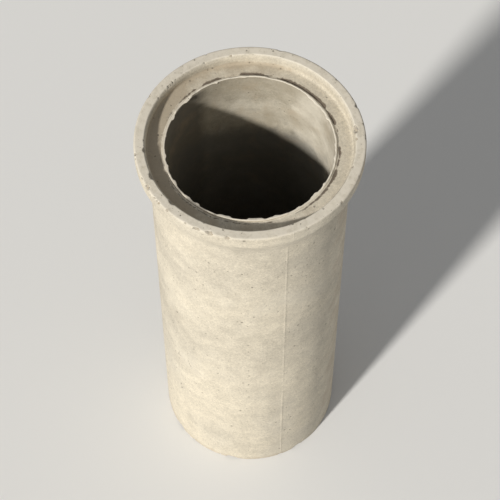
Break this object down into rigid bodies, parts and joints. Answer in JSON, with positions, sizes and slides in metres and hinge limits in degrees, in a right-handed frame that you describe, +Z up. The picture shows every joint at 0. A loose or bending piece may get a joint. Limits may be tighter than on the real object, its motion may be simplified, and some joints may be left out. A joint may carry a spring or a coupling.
{
  "type": "concrete sewer pipe",
  "caption": "Reinforced concrete sewer pipe, cast in one piece, with a flared bell holding the socket at one end and a plain spigot at the other.",
  "frame": {"origin": "on the floor, on the pipe's axis, in the middle of the spigot's end", "axes": "Z runs up the pipe's axis, from the spigot's end on the floor to the bell's face; X and Y run across the pipe, which is the same all round"},
  "size_m": [1.09, 1.09, 2.56],
  "materials": {
    "concrete": "pale beige-grey cast concrete, matt, with fine pores, mould rings and earth stains"
  },
  "bodies": {
    "root": {"pipe": "concrete"}
  },
  "joints": []
}
